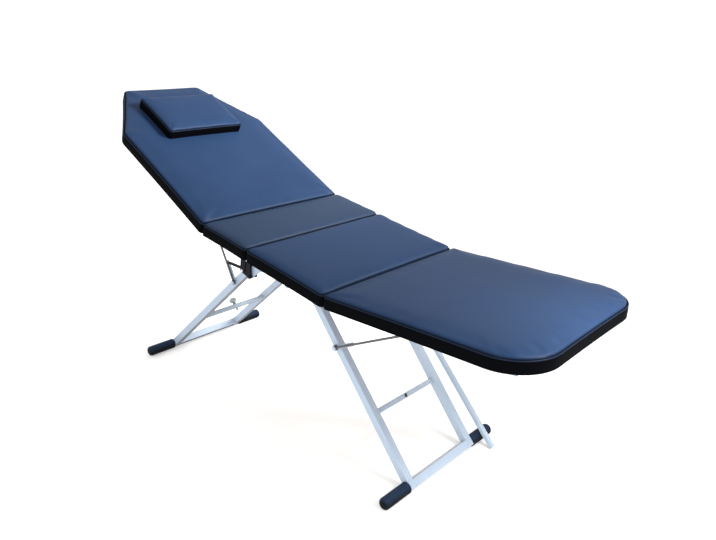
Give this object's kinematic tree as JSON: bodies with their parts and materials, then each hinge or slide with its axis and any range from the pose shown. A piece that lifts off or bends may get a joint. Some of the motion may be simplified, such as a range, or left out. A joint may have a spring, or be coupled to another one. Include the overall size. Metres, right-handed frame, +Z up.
{
  "type": "folding massage table",
  "caption": "Folding massage table: padded backrest with loose pillow, split seat and foot panel on crossed tube leg frames with wire struts, folding in half under the seat.",
  "frame": {"origin": "on the floor, below the middle of the whole table", "axes": "+X from the head end towards the foot end, +Z up, the prop on the +Y side"},
  "size_m": [1.8038, 0.59, 0.947],
  "materials": {
    "navy_vinyl": "smooth matt vinyl",
    "plywood": "bare birch ply",
    "silver_coat": "semi-gloss powder coat",
    "black_coat": "semi-gloss powder coat",
    "zinc_plate": "bright zinc plate",
    "black_rubber": "ribbed rubber",
    "black_nylon": "moulded nylon",
    "pale_plastic": "smooth moulding"
  },
  "bodies": {
    "rear_seat": {"rear_seat_cushion": "navy_vinyl", "rear_seat_board": "plywood", "rear_side_rails": "silver_coat", "rear_cross_rails": "silver_coat", "head_leg_hangers": "silver_coat", "head_leg_axle": "zinc_plate", "head_axle_spacers": "black_nylon", "fold_brackets": "black_coat", "bracket_screws": "zinc_plate", "fold_pins": "zinc_plate", "lever_pin": "zinc_plate", "backrest_hinge_seat_leaves": "silver_coat", "backrest_hinge_pins": "zinc_plate"},
    "front_seat": {"front_seat_cushion": "navy_vinyl", "front_seat_board": "plywood", "front_side_rails": "silver_coat", "front_cross_rails": "silver_coat", "foot_leg_hangers": "silver_coat", "foot_leg_axle": "zinc_plate", "foot_axle_spacers": "black_nylon", "fold_gussets": "silver_coat", "foot_hinge_seat_leaves": "silver_coat", "foot_hinge_pins": "zinc_plate"},
    "backrest": {"backrest_cushion": "navy_vinyl", "backrest_board": "plywood", "backrest_side_rails": "silver_coat", "backrest_cross_rails": "silver_coat", "backrest_hinge_leaves": "black_coat", "backrest_racks": "black_nylon"},
    "head_pillow": {"pillow": "navy_vinyl"},
    "foot_section": {"foot_cushion": "navy_vinyl", "foot_board": "plywood", "foot_side_rails": "silver_coat", "foot_cross_rails": "silver_coat", "foot_hinge_leaves": "black_coat", "foot_racks": "black_nylon"},
    "head_legs": {"head_leg_near": "silver_coat", "head_leg_far": "silver_coat", "head_floor_bar": "silver_coat", "head_crossbar": "silver_coat", "head_floor_sleeves": "black_rubber", "head_leg_plugs": "black_nylon", "head_strut_pins": "zinc_plate"},
    "head_bushes": {"head_strut_bushes": "zinc_plate"},
    "head_wire": {"head_strut": "zinc_plate"},
    "foot_legs": {"foot_leg_near": "silver_coat", "foot_leg_far": "silver_coat", "foot_floor_bar": "silver_coat", "foot_crossbar": "silver_coat", "foot_floor_sleeves": "black_rubber", "foot_leg_plugs": "black_nylon", "foot_strut_pins": "zinc_plate"},
    "foot_bushes": {"foot_strut_bushes": "zinc_plate"},
    "foot_wire": {"foot_strut": "zinc_plate"},
    "prop": {"prop_tube": "silver_coat"},
    "knob": {"transport_knob": "pale_plastic"},
    "lever": {"fold_lever": "black_coat"}
  },
  "joints": [
    {"name": "centre_fold", "type": "hinge", "parent": "rear_seat", "child": "front_seat", "pos_m": [-0.03762, 0, 0.51372], "axis": [0, 1, 0], "range_deg": [0, 180]},
    {"name": "head_leg_fold", "type": "hinge", "parent": "rear_seat", "child": "head_legs", "pos_m": [-0.10964, 0, 0.53641], "axis": [0, 1, 0], "range_deg": [0, 51.24]},
    {"name": "foot_leg_fold", "type": "hinge", "parent": "front_seat", "child": "foot_legs", "pos_m": [0.07624, 0, 0.51425], "axis": [0, 1, 0], "range_deg": [-41.18, 0]},
    {"name": "prop_fold", "type": "hinge", "parent": "front_seat", "child": "prop", "pos_m": [0.07624, 0.2, 0.51425], "axis": [0, 1, 0], "range_deg": [-40.71, 0]},
    {"name": "backrest_tilt", "type": "hinge", "parent": "rear_seat", "child": "backrest", "pos_m": [-0.24548, 0, 0.58685], "axis": [0, 1, 0], "range_deg": [-18.7, 0]},
    {"name": "foot_tilt", "type": "hinge", "parent": "front_seat", "child": "foot_section", "pos_m": [0.28785, 0, 0.52325], "axis": [0, 1, 0], "range_deg": [0, 10.5]},
    {"name": "head_bush_turn", "type": "hinge", "parent": "head_legs", "child": "head_bushes", "pos_m": [-0.24674, 0, 0.402], "axis": [0, 1, 0], "range_deg": [-82.19, 0]},
    {"name": "head_strut_tilt", "type": "hinge", "parent": "head_bushes", "child": "head_wire", "pos_m": [-0.24674, 0, 0.402], "axis": [0, 1, 0], "range_deg": [-14.86, 0]},
    {"name": "foot_bush_turn", "type": "hinge", "parent": "foot_legs", "child": "foot_bushes", "pos_m": [0.22688, 0, 0.34712], "axis": [0, 1, 0], "range_deg": [0, 64.59]},
    {"name": "foot_strut_tilt", "type": "hinge", "parent": "foot_bushes", "child": "foot_wire", "pos_m": [0.22688, 0, 0.34712], "axis": [0, 1, 0], "range_deg": [0, 8.89]},
    {"name": "lever_turn", "type": "hinge", "parent": "rear_seat", "child": "lever", "pos_m": [-0.07079, -0.25, 0.52442], "axis": [0, 1, 0], "range_deg": [0, 25]},
    {"name": "knob_turn", "type": "hinge", "parent": "head_legs", "child": "knob", "pos_m": [-0.45511, 0, 0.19772], "axis": [-0.7001, 0, 0.7141], "continuous": true},
    {"name": "pillow_lift", "type": "slide", "parent": "backrest", "child": "head_pillow", "axis": [0.4305, 0, 0.9026], "range_m": [0, 0.12]}
  ],
  "couplings": [
    {"joint": "head_leg_fold", "follows": "centre_fold", "ratio": 0.28463},
    {"joint": "foot_leg_fold", "follows": "centre_fold", "ratio": -0.22873},
    {"joint": "prop_fold", "follows": "centre_fold", "ratio": -0.22611},
    {"joint": "head_bush_turn", "follows": "centre_fold", "ratio": -0.45655},
    {"joint": "foot_bush_turn", "follows": "centre_fold", "ratio": 0.3588},
    {"joint": "head_strut_tilt", "follows": "backrest_tilt", "ratio": 0.79412},
    {"joint": "foot_strut_tilt", "follows": "foot_tilt", "ratio": 0.84571}
  ]
}
